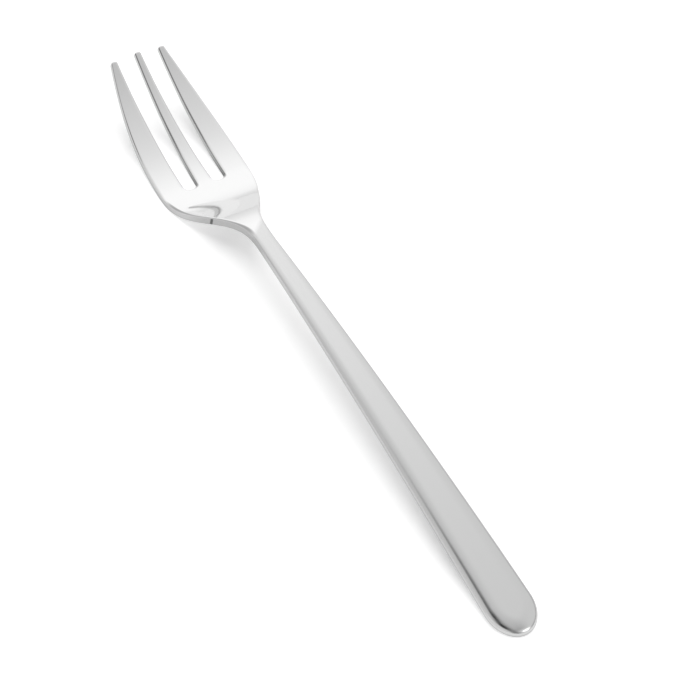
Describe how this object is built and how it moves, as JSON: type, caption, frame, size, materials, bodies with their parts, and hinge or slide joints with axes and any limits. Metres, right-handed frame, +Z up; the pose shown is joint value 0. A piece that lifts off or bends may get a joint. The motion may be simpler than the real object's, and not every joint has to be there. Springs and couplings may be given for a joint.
{
  "type": "serving fork",
  "caption": "Flat-handled serving fork of stainless steel with slim upswept tines, a mirror-polished head and a satin handle, for lifting and serving food.",
  "frame": {"origin": "on the table, under the middle of the fork's length and width", "axes": "+Y from the handle's rounded end to the tine tips, +Z up, with the hollow of the head facing up"},
  "size_m": [0.0296, 0.2404, 0.0184],
  "materials": {
    "polished_steel": "polished",
    "satin_steel": "satin"
  },
  "bodies": {
    "root": {"head": "polished_steel", "handle": "satin_steel"}
  },
  "joints": []
}
